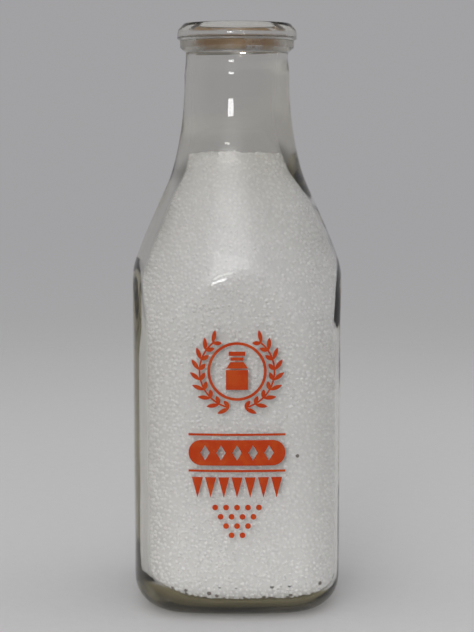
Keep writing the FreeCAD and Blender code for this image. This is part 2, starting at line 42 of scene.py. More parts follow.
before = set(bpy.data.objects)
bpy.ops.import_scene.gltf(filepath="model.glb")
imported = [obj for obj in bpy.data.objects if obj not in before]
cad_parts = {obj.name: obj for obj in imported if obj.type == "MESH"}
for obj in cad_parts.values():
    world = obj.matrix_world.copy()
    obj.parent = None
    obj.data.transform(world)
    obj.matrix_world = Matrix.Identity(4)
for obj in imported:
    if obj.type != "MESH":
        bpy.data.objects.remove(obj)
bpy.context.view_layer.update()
_, GLASS_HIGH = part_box("bottle_glass")
_, FILL_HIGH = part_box("bead_fill")
PRINT_NODES = sorted(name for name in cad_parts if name.startswith("print_"))
BODY = "root"
FULL_TURN = 2 * math.pi
QUARTER = math.pi / 2
EIGHTH = math.pi / 4
WHITE = (1.0, 1.0, 1.0, 1.0)

# spacing of the outlines' points, close together where the arches of the panels are
POINTS_AROUND = 256
ARC_POINTS = 4
WELD = 0.00002
ROW_STEP = 0.0021
ARCH_STEP = 0.0009
ARCH_LOW, ARCH_HIGH = 0.143, 0.170
ARCH_START = 0.05
ARCH_THINNING = 3

# places of the shoulder's brow and knee among the outer corners
BROW, KNEE = 4, 5

# the seat of the disc cap
SEAT_RADIUS = 0.02065
SEAT_LEDGE = 0.2355
SEAT_TOP = 0.2385

# where the blown inside is uneven: heights from and to, and turns as cosines
HEEL_SAG_TURN = (0.30, 0.85)
BULGE_TURN = (0.45, 0.95)
BULGE_FOOT = (0.152, 0.172)
BULGE_HEAD = (0.206, 0.170)
BODY_DRIFT_HEAD = (0.190, 0.140)
NECK_DRIFT_FOOT = (0.150, 0.195)
NECK_DRIFT_HEAD = (0.236, 0.200)
AXIS_FADE = (0.0, 0.012)
WAVE_SCALE = 34.0
RIPPLE_SCALE = 260.0
RIPPLE_DEPTH = 0.003
RIPPLE_HEIGHT = 0.003

# shape of a bead and the range of its size and shade
BEAD_SIDES, BEAD_RINGS = 6, 4
BEAD_SIZES = (0.82, 1.12)
BEAD_SHADES = (0.6, 1.0)
# share of the bead colour that the bed between the beads gets: painted shade in the crevices
BED_CREVICE_SHADE = 0.90
MOST_BEADS = 600000.0

# shade from which a bead is dirty, and how much lower it is near the inside floor, where the extra dark
# beads are painted shade of the gaps at the fill's bottom edge
SOILED_FROM = 0.9998
GAP_SHADE_MORE = 0.06
GAP_SHADE_HEIGHT = (0.0145, 0.0125)

# worn and stained zones of the glass
SCUFFED_HEEL = (0.010, 0.002)
SCUFFED_LIP = (0.2385, 0.2408)
STAIN_FOOT = (0.2306, 0.2325)
STAIN_HEAD = (0.2366, 0.2354)
STAIN_RADIUS = (0.0224, 0.0214)
SCUFF_GRAIN = (0.52, 0.70)
STAIN_BLOTCH = (0.28, 0.52)
SHADOW_TINT = (0.9, 0.9, 0.9, 1.0)

# thin places and pinholes of the enamel
THIN_CLOUD = (0.42, 0.72)
THIN_MOST = 0.7
PINHOLE_SPECK = (0.66, 0.74)
PINHOLE_CLOUD = (0.45, 0.65)
PINHOLE_COLOUR = (0.62, 0.42, 0.34, 1.0)

# the stage
FLOOR_RADIUS = 1.0
FLOOR_DROP = 0.0002
FLOOR_FADE = (0.30, 0.95)
PAPER_GRAIN = 0.97
# where the painted shadow under the base fades out across the footprint
CONTACT_SHADOW_EDGE = (0.0455, 0.0425)
GLOW_TOWARDS = (-0.137, -0.776, 0.616)
GLOW_EDGE = (0.84, 1.0)
BACKDROP_RISE = (-0.27, -0.07)
ROOM_EDGE = (0.45, -0.4)
CEILING_EDGE = (0.15, 0.6)
LIGHT_EDGE = (-0.2, 0.6)
NECK = (0.0, 0.0, 0.2075)
BOUNCES = 64


# settings

def length(name, description, default):
    return FloatProperty(name=name, description=description, default=default, precision=5, unit="LENGTH")


def angle(name, description, degrees):
    return FloatProperty(name=name, description=description, default=math.radians(degrees), subtype="ANGLE")


def colour(name, description, default):
    return FloatVectorProperty(name=name, description=description, default=default, subtype="COLOR", size=3)


def factor(name, description, default):
    return FloatProperty(name=name, description=description, default=default, subtype="FACTOR")


def plain(name, description, default):
    return FloatProperty(name=name, description=description, default=default)


def power(name, description, default):
    return FloatProperty(name=name, description=description, default=default, precision=4, unit="POWER")


class GlassSettings(bpy.types.PropertyGroup):
    """Form and finish of the glass."""

    height: length("Height", "Floor to the lip's crest", GLASS_HIGH.z)
    body_half: length("Half width", "Axis to the middle of a panel", GLASS_HIGH.x)
    corner_radius: length("Corner radius", "Upright corners of the body", 0.0245)
    side_bow: length("Panel bow", "Radius of the bowed panels", 0.16)
    heel_radius: length("Heel radius", "Rounding between panels and base", 0.012)
    arch_softness: length("Arch softness", "Width of the blend along the arched panel tops", 0.0010)
    turned_radius: length("Blank radius", "Turned blank that the panels are pressed into", 0.0517)
    brow_height: length("Brow height", "Where the shoulder begins to round down", 0.1592)
    cone_angle: angle("Shoulder slope", "Slope of the shoulder from upright", 24.5)
    sweep_radius: length("Sweep radius", "Lower flare of the neck", 0.061)
    taper_angle: angle("Neck taper", "Slope between the two flares of the neck", 14.0)
    taper_radius: length("Taper radius", "Upper flare of the neck", 0.142)
    flare_start: length("Flare start", "Height where the neck begins to flare", 0.219)
    neck_radius: length("Neck radius", "Straight neck under the finish", 0.0218)
    neck_step: length("Neck step", "Faint step in the neck under the finish", 0.00056)
    wall: length("Wall", "Thickness of the panels", 0.0035)
    floor_height: length("Inside floor", "Inside floor above the table", 0.005)
    inner_heel: length("Inside heel", "Rounding of the inside floor", 0.008)
    heel_sag: length("Heel sag", "How much the inside heel thickens towards the left", 0.004)
    throat_radius: length("Throat radius", "Bore of the neck", 0.0172)
    throat_end: length("Throat end", "Height where the bore begins to open out", 0.1967)
    throat_sweep: length("Throat sweep", "Rounding where the bore opens out", 0.036)
    throat_angle: angle("Throat slope", "Slope of the shoulder inside", 28.0)
    hollow_brow: length("Inside brow", "Where the inside begins to round down", 0.157)
    shoulder_bulge: length("Shoulder bulge", "How far the hollow reaches right in the shoulder", 0.0031)
    body_drift: length("Body drift", "Sideways offset of the hollow in the body", 0.0014)
    neck_drift: length("Neck drift", "Sideways offset of the bore in the neck", -0.0014)
    waves: length("Waves", "Unevenness of the blown inner wall", 0.00022)
    absorption: colour("Tint", "Colour that deep glass lets through", (0.30, 0.25, 0.02))
    density: plain("Tint density", "How fast deep glass darkens", 22.0)
    stain: colour("Stain", "Old residue at the cap seat", (0.34, 0.17, 0.06))


class BeadSettings(bpy.types.PropertyGroup):
    """Size and colour of the foam beads."""

    radius: length("Radius", "Mean radius of a bead", 0.00090)
    spacing: length("Spacing", "Least distance between beads", 0.00146)
    depth: length("Depth", "How far the beads' bed lies inside the glass", 0.00090)
    sink: length("Sink", "How deep the beads' middles lie in their bed", 0.00018)
    level: length("Level", "Height of the fill", FILL_HIGH.z)
    seed: IntProperty(name="Seed", description="Start of the random scatter", default=7)
    colour: colour("Colour", "Clean foam", (0.95, 0.945, 0.95))
    # dark beads: dirt on a few, and painted shade of the gaps near the inside floor
    grit_and_gap_shade: colour("Grit", "Colour of the few soiled beads", (0.20, 0.18, 0.16))


class EnamelSettings(bpy.types.PropertyGroup):
    """Colour and wear of the fired print."""

    colour: colour("Colour", "Fired enamel", (0.54, 0.048, 0.003))
    thin_colour: colour("Thin colour", "Enamel where it lies thin", (0.60, 0.088, 0.010))
    wear: factor("Wear", "Share of the print with pinholes", 0.25)


class StageSettings(bpy.types.PropertyGroup):
    """Floor, background, light and camera."""

    floor_colour: colour("Floor", "Pale paper under the bottle", (0.735, 0.728, 0.735))
    # painted shadow: dark paper under the base, seen only through the glass
    contact_shadow: colour("Contact", "Paper in the dark under the base", (0.32, 0.285, 0.175))
    low_backdrop: colour("Low backdrop", "Background near the table", (0.435, 0.43, 0.425))
    high_backdrop: colour("High backdrop", "Background behind the neck", (0.36, 0.355, 0.365))
    ceiling: colour("Ceiling", "What lies overhead", (0.16, 0.16, 0.16))
    room: colour("Room", "What lies behind the camera", (0.20, 0.195, 0.19))
    glow: colour("Glow", "Soft window that the glass mirrors", (1.3, 1.3, 1.36))
    front_light: plain("Front light", "Strength of the room's light", 0.43)
    back_light: plain("Back light", "Strength of the backdrop's light", 0.55)
    key_power: power("Key", "Power of the small front lamp", 1.5)
    window_power: power("Window", "Power of the broad front lamp", 2.5)
    top_power: power("Top", "Power of the overhead lamp", 2.2)
    right_power: power("Right", "Power of the lamp at the right", 1.8)
    left_power: power("Left", "Power of the lamp at the left", 0.75)
    low_power: power("Low", "Power of the strip on the table", 0.0065)
    camera_distance: length("Camera distance", "Camera to the bottle's axis", 0.659)
    camera_height: length("Camera height", "Camera above the table", 0.2075)
    camera_pitch: angle("Camera pitch", "How far the camera looks down", 7.614)
    lens: FloatProperty(name="Lens", description="Focal length in millimetres", default=89.45, unit="CAMERA")


class BottleSettings(bpy.types.PropertyGroup):
    """All settings of the bottle."""

    glass: PointerProperty(type=GlassSettings, name="Glass", description="Form and finish of the glass")
    beads: PointerProperty(type=BeadSettings, name="Beads", description="The foam fill")
    enamel: PointerProperty(type=EnamelSettings, name="Enamel", description="The fired print")
    stage: PointerProperty(type=StageSettings, name="Stage", description="Floor, light and camera")


# nodes

class Field:
    """A node's output that takes part in Python arithmetic: each operation adds a Math node."""

    def __init__(self, tree, socket):
        self.tree = tree
        self.socket = socket

    def of(self, output):
        """Another output of the same node."""
        return Field(self.tree, self.socket.node.outputs[output])

    def math(self, operation, *others):
        return self.tree.math(operation, self, *others)

    def __add__(self, other):
        return self.math("ADD", other)

    def __radd__(self, other):
        return self.math("ADD", other)

    def __sub__(self, other):
        return self.math("SUBTRACT", other)

    def __rsub__(self, other):
        return self.tree.math("SUBTRACT", other, self)

    def __mul__(self, other):
        return self.math("MULTIPLY", other)

    def __rmul__(self, other):
        return self.math("MULTIPLY", other)

    def __truediv__(self, other):
        return self.math("DIVIDE", other)

    def __rtruediv__(self, other):
        return self.tree.math("DIVIDE", other, self)

    def __mod__(self, other):
        return self.math("MODULO", other)

    def __rmod__(self, other):
        return self.tree.math("MODULO", other, self)

    def __neg__(self):
        return self.math("MULTIPLY", -1.0)

    def __abs__(self):
        return self.math("ABSOLUTE")

    def __gt__(self, other):
        return self.math("GREATER_THAN", other)

    def __lt__(self, other):
        return self.math("LESS_THAN", other)

    def least(self, other):
        return self.math("MINIMUM", other)

    def most(self, other):
        return self.math("MAXIMUM", other)

    def root(self):
        return self.math("SQRT")

    def sine(self):
        return self.math("SINE")

    def cosine(self):
        return self.math("COSINE")

    def ramp(self, low, high, start=0.0, end=1.0):
        """Goes smoothly from start to end as this value goes from low to high."""
        sockets = {"Value": self, "From Min": low, "From Max": high, "To Min": start, "To Max": end}
        return self.tree.add("ShaderNodeMapRange", {"interpolation_type": "SMOOTHSTEP"}, sockets)


class Tree:
    """A node tree that is filled through one method."""

    def __init__(self, node_tree):
        self.node_tree = node_tree

    def add(self, kind, settings=None, sockets=None, output=0):
        """Add a node, make its settings, feed its sockets and return one of its outputs."""
        node = self.node_tree.nodes.new(kind)
        for name, setting in (settings or {}).items():
            setattr(node, name, setting)
        for key, source in (sockets or {}).items():
            if isinstance(source, Field):
                self.node_tree.links.new(source.socket, node.inputs[key])
            else:
                node.inputs[key].default_value = source
        return Field(self, node.outputs[output]) if len(node.outputs) else None

    def math(self, operation, *values):
        return self.add("ShaderNodeMath", {"operation": operation}, dict(enumerate(values)))

    def mix(self, share, first, second):
        """Mix two colours."""
        return self.add("ShaderNodeMix", {"data_type": "RGBA"}, {0: share, 6: first, 7: second}, output=2)

    def vector(self, x, y, z):
        return self.add("ShaderNodeCombineXYZ", sockets={0: x, 1: y, 2: z})

    def noise(self, where, scale, detail=2.0):
        return self.add("ShaderNodeTexNoise", sockets={"Vector": where, "Scale": scale, "Detail": detail})


def solid(shade):
    return (*shade, 1.0)


# meshes and geometry node trees

def link(name, mesh):
    obj = bpy.data.objects.new(name, mesh)
    bpy.context.scene.collection.objects.link(obj)
    return obj


def dress(piece, slot, *nodes):
    """Let a finished piece move with the bottle and stand for solids; the slot it is given is not used."""
    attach(piece, BODY)
    if nodes:
        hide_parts(*nodes)
    return piece


def new_group(name, inputs):
    """An empty geometry tree with a geometry input, the named inputs and a geometry output."""
    group = bpy.data.node_groups.new(name, "GeometryNodeTree")
    group.interface.new_socket("Geometry", in_out="INPUT", socket_type="NodeSocketGeometry")
    for label, kind in inputs.items():
        group.interface.new_socket(label, in_out="INPUT", socket_type=f"NodeSocket{kind}")
    group.interface.new_socket("Geometry", in_out="OUTPUT", socket_type="NodeSocketGeometry")
    tree = Tree(group)
    return group, tree, tree.add("NodeGroupInput")


def close_group(tree, geometry, material):
    geometry = tree.add("GeometryNodeRealizeInstances", sockets={"Geometry": geometry})
    geometry = tree.add("GeometryNodeSetMaterial", sockets={"Geometry": geometry, "Material": material})
    tree.add("NodeGroupOutput", sockets={0: geometry})


def grow(obj, group, values):
    """Run a geometry tree on an object, keep the result as its plain mesh and drop the modifier."""
    modifier = obj.modifiers.new(group.name, "NODES")
    modifier.node_group = group
    for item in group.interface.items_tree:
        if item.in_out == "INPUT" and item.name in values:
            modifier[item.identifier] = values[item.name]
    graph = bpy.context.evaluated_depsgraph_get()
    mesh = bpy.data.meshes.new_from_object(obj.evaluated_get(graph), depsgraph=graph)
    obj.modifiers.remove(modifier)
    old = obj.data
    obj.data = mesh
    bpy.data.meshes.remove(old)
    mesh.name = obj.name
    return obj


def soften(corners, step):
    """Points along a run of corners (radius, height, rounding), with every corner turned into an arc."""
    points = [Vector(corners[0][:2])]
    for before, corner, after in zip(corners, corners[1:], corners[2:]):
        middle, rounding = Vector(corner[:2]), corner[2]
        into = (middle - Vector(before[:2])).normalized()
        out = (Vector(after[:2]) - middle).normalized()
        turn = into.angle_signed(out)
        reach = rounding * math.tan(abs(turn) / 2)
        start = middle - into * reach
        run_to(points, start, step)
        side = Vector((into.y, -into.x)) * math.copysign(rounding, turn)
        pieces = max(ARC_POINTS, math.ceil(rounding * abs(turn) / step)) if rounding else 0
        for i in range(1, pieces + 1):
            swing = turn * i / pieces
            spoke = Vector((-side.x, -side.y))
            cos, sin = math.cos(-swing), math.sin(-swing)
            spoke = Vector((spoke.x * cos - spoke.y * sin, spoke.x * sin + spoke.y * cos))
            points.append(start + side + spoke)
    run_to(points, Vector(corners[-1][:2]), step)
    return points


def run_to(points, end, step):
    """Carry a run of points on to an end in even steps."""
    start = points[-1]
    pieces = max(1, math.ceil((end - start).length / step))
    points.extend(start.lerp(end, i / pieces) for i in range(1, pieces + 1))


def below(points, level):
    """The part of a falling run of points that lies below a level, with a new first point at the level."""
    for i, (upper, lower) in enumerate(zip(points, points[1:]), 1):
        if lower.y < level:
            return [upper.lerp(lower, (upper.y - level) / (upper.y - lower.y))] + points[i:]
    raise ValueError("no point lies below the level")


# the form of the bottle

def flare_corner(glass):
    """Corner between the straight neck and its taper."""
    return glass.neck_radius, glass.flare_start - glass.taper_radius * math.tan(glass.taper_angle / 2)


def knee_corner(glass):
    """Corner between the neck's taper and the slope of the shoulder."""
    radius, height = flare_corner(glass)
    upper = glass.taper_radius * math.tan(glass.taper_angle / 2)
    lower = glass.sweep_radius * math.tan((glass.cone_angle - glass.taper_angle) / 2)
    run = upper + lower
    return radius + run * math.sin(glass.taper_angle), height - run * math.cos(glass.taper_angle)


def brow_corner(start, slope, radius, brow_height):
    """Corner where a slope that falls from a point meets an upright side, rounded from a given height."""
    height = start[1] - (radius - start[0]) / math.tan(slope)
    return radius, height, (brow_height - height) / math.cos(slope) / math.tan(slope / 2)


def outer_corners(glass):
    """Half outline of the outside, from the middle of the base to the mouth."""
    dome, dome_radius = 0.0025, 0.0275
    dome_round = (dome_radius ** 2 + dome ** 2) / (2 * dome)
    dome_turn = dome_round * math.tan(math.asin(dome_radius / dome_round) / 2)
    stepped = glass.neck_radius - glass.neck_step
    return [
        # hollow under the base
        (0.0, dome, 0.0),
        (dome_turn, dome, dome_round),
        (dome_radius, 0.0, 0.0),
        # heel, side, shoulder and neck
        (glass.turned_radius, 0.0, glass.heel_radius),
        brow_corner(knee_corner(glass), glass.cone_angle, glass.turned_radius, glass.brow_height),
        (*knee_corner(glass), glass.sweep_radius),
        (*flare_corner(glass), glass.taper_radius),
        # faint step in the neck
        (glass.neck_radius, 0.2202, 0.018),
        (stepped, 0.2258, 0.018),
        # collar
        (stepped, 0.2293, 0.0004),
        (0.0236, 0.2314, 0.0008),
        (0.0237, 0.2344, 0.0006),
        # lip bead
        (0.0247, 0.2349, 0.0005),
        (0.0247, 0.2386, 0.0040),
        (0.0219, glass.height, 0.0012),
        (SEAT_RADIUS, glass.height, 0.0005),
    ]


def hollow_corners(glass, gap):
    """Half outline of the hollow below the cap seat, moved in by a gap, down to the inside floor."""
    slope = glass.throat_angle
    half_turn = math.tan(slope / 2)
    throat = (glass.throat_radius - gap, glass.throat_end - (glass.throat_sweep + gap) * half_turn)
    rim = glass.turned_radius - glass.wall - gap
    floor = glass.floor_height + gap
    return [
        (*throat, glass.throat_sweep + gap),
        brow_corner(throat, slope, rim, glass.hollow_brow - gap * math.sin(slope)),
        (rim, floor, glass.inner_heel),
        (0.0, floor, 0.0),
    ]


def profile_mesh(name, runs):
    """A string of points (radius, 0, height), with an attribute inner that marks the hollow's points."""
    points = [point for run, _ in runs for point in run]
    inner = [flag for run, flag in runs for _ in run]
    mesh = bpy.data.meshes.new(name)
    mesh.from_pydata([(p.x, 0.0, p.y) for p in points], [(i, i + 1) for i in range(len(points) - 1)], [])
    mesh.attributes.new("inner", "FLOAT", "POINT").data.foreach_set("value", inner)
    return mesh


WALL_INPUTS = {
    "Around": "Int",
    "Panel Half": "Float",
    "Corner Radius": "Float",
    "Panel Bow": "Float",
    "Arch Softness": "Float",
    "Heel": "Float",
    "Inner Heel": "Float",
    "Heel Sag": "Float",
    "Inset": "Float",
    "Floor": "Float",
    "Shoulder Bulge": "Float",
    "Body Drift": "Float",
    "Neck Drift": "Float",
    "Waves": "Float",
    "Level": "Float",
    "Level Waves": "Float",
    "Material": "Material",
}


def panel_reach(tree, given, turn, inset):
    """Distance from the axis to the square section with bowed sides, at an angle round the bottle."""
    folded = abs((turn + EIGHTH) % QUARTER - EIGHTH)
    behind = given.of("Panel Bow") - given.of("Panel Half")
    between = given.of("Panel Bow") - given.of("Corner Radius")
    spread = (2.0 * between * between - behind * behind).root()
    corner_at = (spread - behind) / 2.0
    bow = given.of("Panel Bow") - inset
    corner = given.of("Corner Radius") - inset
    touch_x = bow * (corner_at + behind) / between - behind
    touch_y = bow * corner_at / between
    past_touch = folded > touch_y.math("ARCTAN2", touch_x)
    across = behind * folded.sine()
    side = (bow * bow - across * across).root() - behind * folded.cosine()
    diagonal = corner_at * math.sqrt(2.0)
    off = EIGHTH - folded
    slip = diagonal * off.sine()
    round_off = diagonal * off.cosine() + (corner * corner - slip * slip).most(0.0).root()
    return side + (round_off - side) * past_touch


def wall_group():
    """Turns a half outline into the bottle's form: each ring of points is held inside the panels."""
    group, tree, given = new_group("bottle_wall", WALL_INPUTS)
    rows = tree.add("GeometryNodeAttributeDomainSize", {"component": "MESH"}, {"Geometry": given})
    sockets = {"Size X": 1.0, "Size Y": 1.0, "Vertices X": rows, "Vertices Y": given.of("Around") + 1.0}
    grid = tree.add("GeometryNodeMeshGrid", sockets=sockets)
    place = tree.add("ShaderNodeSeparateXYZ", sockets={0: tree.add("GeometryNodeInputPosition")})
    row = ((place + 0.5) * (rows - 1.0)).math("ROUND")
    turn = (place.of("Y") + 0.5) * FULL_TURN

    def look_up(data_type, what):
        sockets = {"Geometry": given, "Value": what, "Index": row}
        return tree.add("GeometryNodeSampleIndex", {"data_type": data_type}, sockets)

    outline_spot = look_up("FLOAT_VECTOR", tree.add("GeometryNodeInputPosition"))
    spot = tree.add("ShaderNodeSeparateXYZ", sockets={0: outline_spot})
    mark = tree.add("GeometryNodeInputNamedAttribute", {"data_type": "FLOAT"}, {"Name": "inner"})
    inner = look_up("FLOAT", mark)
    radius, height = spot, spot.of("Z")

    leftwards = (turn.cosine() * -1.0).most(0.0)
    sag = given.of("Inner Heel") + given.of("Heel Sag") * leftwards.ramp(*HEEL_SAG_TURN)
    heel = given.of("Heel") + (sag - given.of("Heel")) * inner
    dip = (heel - height + given.of("Floor") * inner).most(0.0)
    tuck = heel - (heel * heel - dip * dip).most(0.0).root()
    panel = panel_reach(tree, given, turn, given.of("Inset") * inner + tuck)
    soft = given.of("Arch Softness")
    blend = (soft - abs(radius - panel)).most(0.0) / soft
    reach = radius.least(panel) - blend * blend * soft / 4.0

    where = tree.vector(reach * turn.cosine(), reach * turn.sine(), height)
    wave = (tree.noise(where, WAVE_SCALE) - 0.5) * 2.0
    off_axis = reach.ramp(*AXIS_FADE) * inner
    reach = reach + wave * given.of("Waves") * off_axis
    rightwards = turn.cosine().most(0.0)
    bulged = height.ramp(*BULGE_FOOT) * height.ramp(*BULGE_HEAD) * rightwards.ramp(*BULGE_TURN)
    reach = reach + given.of("Shoulder Bulge") * bulged * off_axis
    neck_share = height.ramp(*NECK_DRIFT_FOOT) * height.ramp(*NECK_DRIFT_HEAD)
    body_share = height.ramp(*BODY_DRIFT_HEAD)
    drift = body_share * given.of("Body Drift") + neck_share * given.of("Neck Drift")
    drift = drift * inner
    at_level = (height - given.of("Level")).ramp(-RIPPLE_DEPTH, 0.0)
    ripple = (tree.noise(where, RIPPLE_SCALE) - 0.5) * given.of("Level Waves") * at_level
    where = tree.vector(reach * turn.cosine() + drift, reach * turn.sine(), height + ripple)

    mesh = tree.add("GeometryNodeSetPosition", sockets={"Geometry": grid, "Position": where})
    mesh = tree.add("GeometryNodeMergeByDistance", sockets={"Geometry": mesh, "Distance": WELD})
    mesh = tree.add("GeometryNodeFlipFaces", sockets={"Mesh": mesh})
    mesh = tree.add("GeometryNodeSetShadeSmooth", sockets={0: mesh, "Shade Smooth": True})
    close_group(tree, mesh, given.of("Material"))
    return group


def wall_values(glass, gap, material):
    return {
        "Around": POINTS_AROUND,
        "Panel Half": glass.body_half,
        "Corner Radius": glass.corner_radius,
        "Panel Bow": glass.side_bow,
        "Arch Softness": glass.arch_softness,
        "Heel": glass.heel_radius,
        "Inner Heel": glass.inner_heel,
        "Heel Sag": glass.heel_sag,
        "Inset": glass.wall + gap,
        "Floor": glass.floor_height + gap,
        "Shoulder Bulge": glass.shoulder_bulge,
        "Body Drift": glass.body_drift,
        "Neck Drift": glass.neck_drift,
        "Waves": glass.waves,
        "Level": glass.height,
        "Level Waves": 0.0,
        "Material": material,
    }


def outside_run(glass, end):
    """Points of the outside up to a point in the mouth, close together where the arches are."""
    corners = outer_corners(glass) + [end]
    brow, knee = Vector(corners[BROW][:2]), Vector(corners[KNEE][:2])
    low = (glass.turned_radius, ARCH_START, 0.0)
    high = (*brow.lerp(knee, (ARCH_HIGH - brow.y) / (knee.y - brow.y)), 0.0)
    points = soften(corners[:BROW] + [low], ROW_STEP)
    close = soften([low, corners[BROW], high], ARCH_STEP)[1:]
    last = ARCH_THINNING - 1
    points += [spot for i, spot in enumerate(close) if spot.y > ARCH_LOW or i % ARCH_THINNING == last]
    return points + soften([high] + corners[KNEE:], ROW_STEP)[1:]


def make_glass(settings):
    glass = settings.glass
    mouth = (SEAT_RADIUS, SEAT_TOP, 0.0)
    seat = [mouth, (SEAT_RADIUS, SEAT_LEDGE, 0.0005), (glass.throat_radius, SEAT_LEDGE, 0.0012)]
    outside = outside_run(glass, mouth)
    inside = soften(seat + hollow_corners(glass, 0.0), ROW_STEP)
    mesh = profile_mesh("bottle_wall", [(outside, 0.0), (inside[1:], 1.0)])
    wall = link("bottle_wall", mesh)
    grow(wall, wall_group(), wall_values(glass, 0.0, glass_material(glass)))
    return dress(wall, "clear_glass", "bottle_glass")


# the beads

SCATTER_INPUTS = {
    "Radius": "Float",
    "Spacing": "Float",
    "Sink": "Float",
    "Seed": "Int",
    "Quarter": "Int",
    "Material": "Material",
}
QUARTERS = ("right", "back", "left", "front")


def scatter_group():
    """Foam beads strewn over a bed, for one quarter of the way round."""
    group, tree, given = new_group("bead_scatter", SCATTER_INPUTS)
    sockets = {
        "Mesh": given,
        "Distance Min": given.of("Spacing"),
        "Density Max": MOST_BEADS,
        "Seed": given.of("Seed"),
    }
    points = tree.add("GeometryNodeDistributePointsOnFaces", {"distribute_method": "POISSON"}, sockets)
    sockets = {0: points.of("Normal"), "Scale": -given.of("Sink")}
    inwards = tree.add("ShaderNodeVectorMath", {"operation": "SCALE"}, sockets)
    points = tree.add("GeometryNodeSetPosition", sockets={"Geometry": points, "Offset": inwards})
    place = tree.add("ShaderNodeSeparateXYZ", sockets={0: tree.add("GeometryNodeInputPosition")})
    turn = place.of("Y").math("ARCTAN2", place)
    quarter = ((turn + EIGHTH + FULL_TURN) / QUARTER).math("FLOOR") % 4.0
    other = abs(quarter - given.of("Quarter")) > 0.5
    sockets = {"Geometry": points, "Selection": other}
    points = tree.add("GeometryNodeDeleteGeometry", {"domain": "POINT"}, sockets)

    sockets = {"Segments": BEAD_SIDES, "Rings": BEAD_RINGS, "Radius": given.of("Radius")}
    bead = tree.add("GeometryNodeMeshUVSphere", sockets=sockets)
    bead = tree.add("GeometryNodeSetShadeSmooth", sockets={0: bead, "Shade Smooth": True})
    sockets = {0: (0, 0, 0), 1: (FULL_TURN, FULL_TURN, FULL_TURN)}
    spin = tree.add("FunctionNodeRandomValue", {"data_type": "FLOAT_VECTOR"}, sockets)
    sockets = {2: BEAD_SIZES[0], 3: BEAD_SIZES[1], "Seed": 1}
    size = tree.add("FunctionNodeRandomValue", {"data_type": "FLOAT"}, sockets, output=1)
    sockets = {"Points": points, "Instance": bead, "Rotation": spin, "Scale": tree.vector(size, size, size)}
    beads = tree.add("GeometryNodeInstanceOnPoints", sockets=sockets)
    sockets = {2: BEAD_SHADES[0], 3: BEAD_SHADES[1], "Seed": 2}
    shade = tree.add("FunctionNodeRandomValue", {"data_type": "FLOAT"}, sockets, output=1)
    sockets = {"Geometry": beads, "Name": "shade", "Value": shade}
    settings = {"data_type": "FLOAT", "domain": "INSTANCE"}
    beads = tree.add("GeometryNodeStoreNamedAttribute", settings, sockets)
    close_group(tree, beads, given.of("Material"))
    return group


def make_beads(settings):
    glass, beads = settings.glass, settings.beads
    material = foam_material(beads)
    gap = beads.depth
    bed_level = beads.level - beads.radius + beads.sink
    bore_top = (glass.throat_radius - gap, glass.height, 0.0)
    side = below(soften([bore_top] + hollow_corners(glass, gap), ROW_STEP), bed_level)
    outline = [Vector((0.0, bed_level))]
    run_to(outline, side[0], ROW_STEP)
    outline.extend(side[1:])
    outline.reverse()
    bed = link("bead_bed", profile_mesh("bead_bed", [(outline, 1.0)]))
    values = wall_values(glass, gap, material)
    values.update({"Waves": 0.0, "Level": bed_level, "Level Waves": RIPPLE_HEIGHT})
    grow(bed, bpy.data.node_groups["bottle_wall"], values)
    group = scatter_group()
    for quarter, label in enumerate(QUARTERS):
        layer = link(f"bead_layer_{label}", bed.data.copy())
        values = {
            "Radius": beads.radius,
            "Spacing": beads.spacing,
            "Sink": beads.sink,
            "Seed": beads.seed,
            "Quarter": quarter,
            "Material": material,
        }
        dress(grow(layer, group, values), "foam_beads")
    return dress(bed, "foam_beads", "bead_fill")


# finishes

def new_material(name):
    material = bpy.data.materials.new(name)
    material.use_nodes = True
    material.node_tree.nodes.clear()
    return material, Tree(material.node_tree)


def object_place(tree):
    """Object coordinates and their parts."""
    where = tree.add("ShaderNodeTexCoord", output="Object")
    return where, tree.add("ShaderNodeSeparateXYZ", sockets={0: where})


def bump(tree, height, strength, distance):
    return tree.add("ShaderNodeBump", sockets={"Strength": strength, "Distance": distance, "Height": height})


def glass_material(glass):
    """Clear old glass: deep stretches go olive, heel and lip are scuffed, residue stains the cap seat."""
    material, tree = new_material("clear_glass")
    where, place = object_place(tree)
    height = place.of("Z")
    radius = (place * place + place.of("Y") * place.of("Y")).root()
    grain = tree.noise(where, scale=900.0, detail=4.0)
    worn = (height.ramp(*SCUFFED_HEEL) + height.ramp(*SCUFFED_LIP)).least(1.0)
    scuffed = worn * grain.ramp(*SCUFF_GRAIN)
    blotch = tree.noise(where, scale=150.0, detail=3.0)
    seat_band = height.ramp(*STAIN_FOOT) * height.ramp(*STAIN_HEAD) * radius.ramp(*STAIN_RADIUS)
    stained = seat_band * blotch.ramp(*STAIN_BLOTCH)
    slow = tree.noise(where, scale=45.0, detail=1.0)
    shaped = bump(tree, slow + grain * scuffed * 0.2, strength=0.12, distance=0.0012)
    surface = tree.add("ShaderNodeBsdfPrincipled", sockets={
        "Base Color": tree.mix(stained, WHITE, solid(glass.stain)),
        "Roughness": 0.005 + 0.22 * scuffed + 0.35 * stained,
        "IOR": 1.52,
        "Transmission Weight": 1.0,
        "Normal": shaped,
    })
    clear = tree.add("ShaderNodeBsdfTransparent", sockets={"Color": SHADOW_TINT})
    in_shadow = tree.add("ShaderNodeLightPath", output="Is Shadow Ray")
    surface = tree.add("ShaderNodeMixShader", sockets={0: in_shadow, 1: surface, 2: clear})
    sockets = {"Color": solid(glass.absorption), "Density": glass.density}
    depth = tree.add("ShaderNodeVolumeAbsorption", sockets=sockets)
    tree.add("ShaderNodeOutputMaterial", sockets={"Surface": surface, "Volume": depth})
    return material


